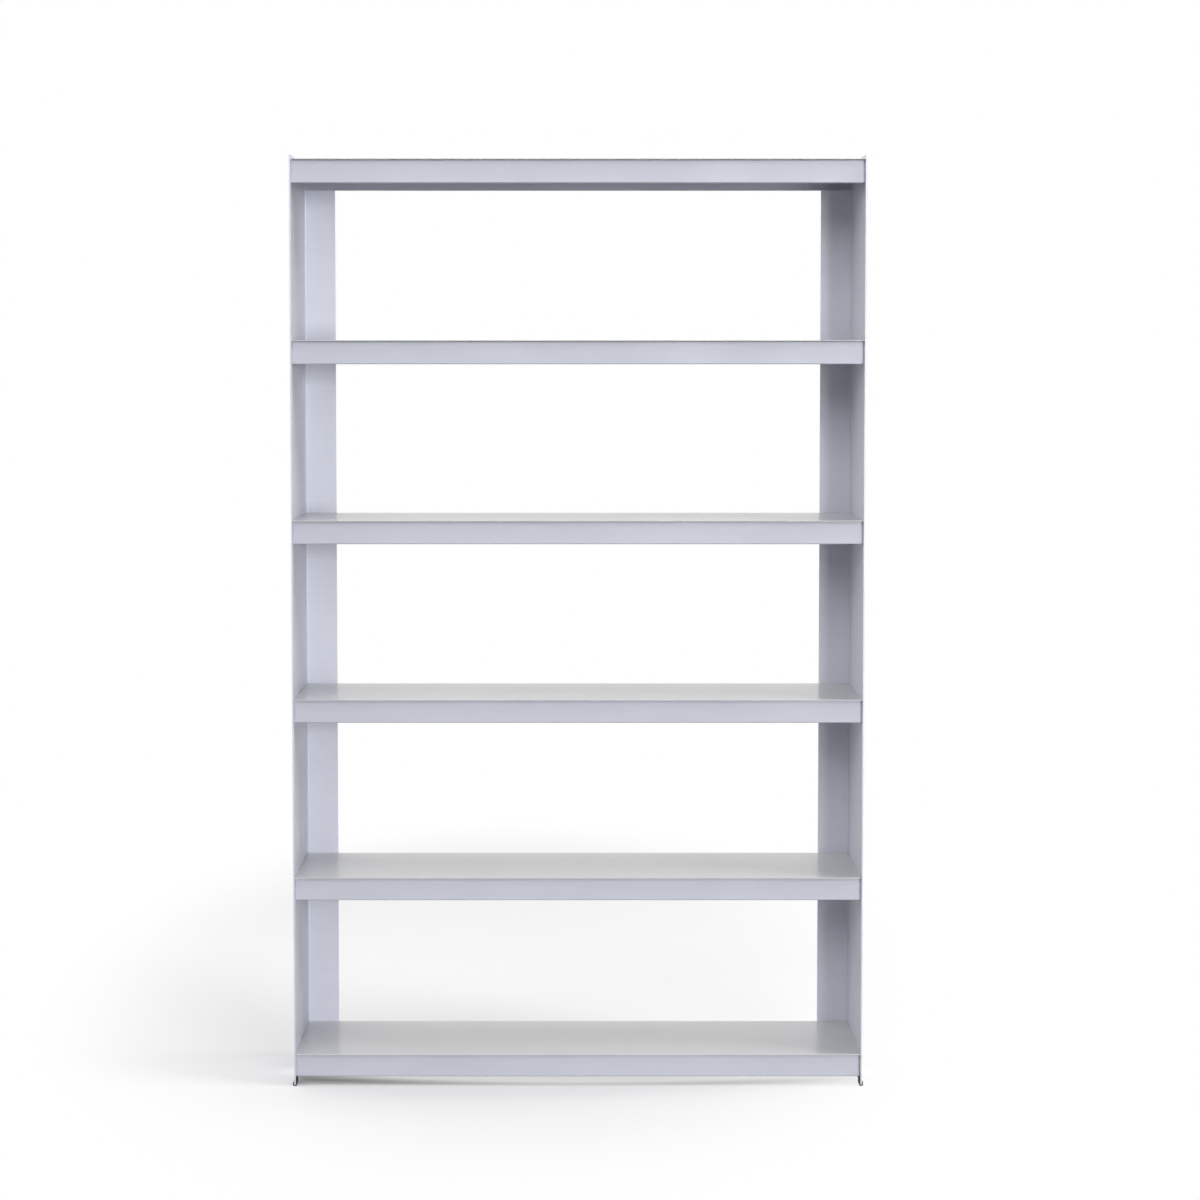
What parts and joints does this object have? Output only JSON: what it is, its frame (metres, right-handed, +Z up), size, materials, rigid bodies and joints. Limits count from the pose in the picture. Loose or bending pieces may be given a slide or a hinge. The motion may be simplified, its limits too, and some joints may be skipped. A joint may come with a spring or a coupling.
{
  "type": "bookcase",
  "caption": "Tall open bookcase of folded sheet metal: side panels with inturned rear flanges carry flat shelves on recessed channel rails, standing on small black clip-on glides.",
  "frame": {"origin": "on the floor, under the middle of the bookcase", "axes": "+Z up, +X along the shelves to the right as seen from the front, +Y from front to back; the front faces -Y"},
  "size_m": [1.2052, 0.32, 1.958],
  "materials": {
    "panel_metal": "satin, faintly brushed, bluish silver",
    "shelf_metal": "satin, bluish silver",
    "rail_metal": "satin, bluish silver",
    "cleat_metal": "plain mill finish",
    "fastener_steel": "zinc-bright",
    "glide_plastic": "matt black"
  },
  "bodies": {
    "root": {"left_side_panel": "panel_metal", "right_side_panel": "panel_metal", "left_panel_studs": "fastener_steel", "right_panel_studs": "fastener_steel", "shelf_sheet_1": "shelf_metal", "front_rail_1": "rail_metal", "rear_rail_1": "rail_metal", "front_rail_cleats_1": "cleat_metal", "shelf_nuts_1": "fastener_steel", "shelf_sheet_2": "shelf_metal", "front_rail_2": "rail_metal", "rear_rail_2": "rail_metal", "front_rail_cleats_2": "cleat_metal", "shelf_nuts_2": "fastener_steel", "shelf_sheet_3": "shelf_metal", "front_rail_3": "rail_metal", "rear_rail_3": "rail_metal", "front_rail_cleats_3": "cleat_metal", "shelf_nuts_3": "fastener_steel", "shelf_sheet_4": "shelf_metal", "front_rail_4": "rail_metal", "rear_rail_4": "rail_metal", "front_rail_cleats_4": "cleat_metal", "shelf_nuts_4": "fastener_steel", "shelf_sheet_5": "shelf_metal", "front_rail_5": "rail_metal", "rear_rail_5": "rail_metal", "front_rail_cleats_5": "cleat_metal", "shelf_nuts_5": "fastener_steel", "shelf_sheet_6": "shelf_metal", "front_rail_6": "rail_metal", "rear_rail_6": "rail_metal", "front_rail_cleats_6": "cleat_metal", "shelf_nuts_6": "fastener_steel", "front_left_glide": "glide_plastic", "front_right_glide": "glide_plastic", "rear_left_glide": "glide_plastic", "rear_right_glide": "glide_plastic"}
  },
  "joints": []
}
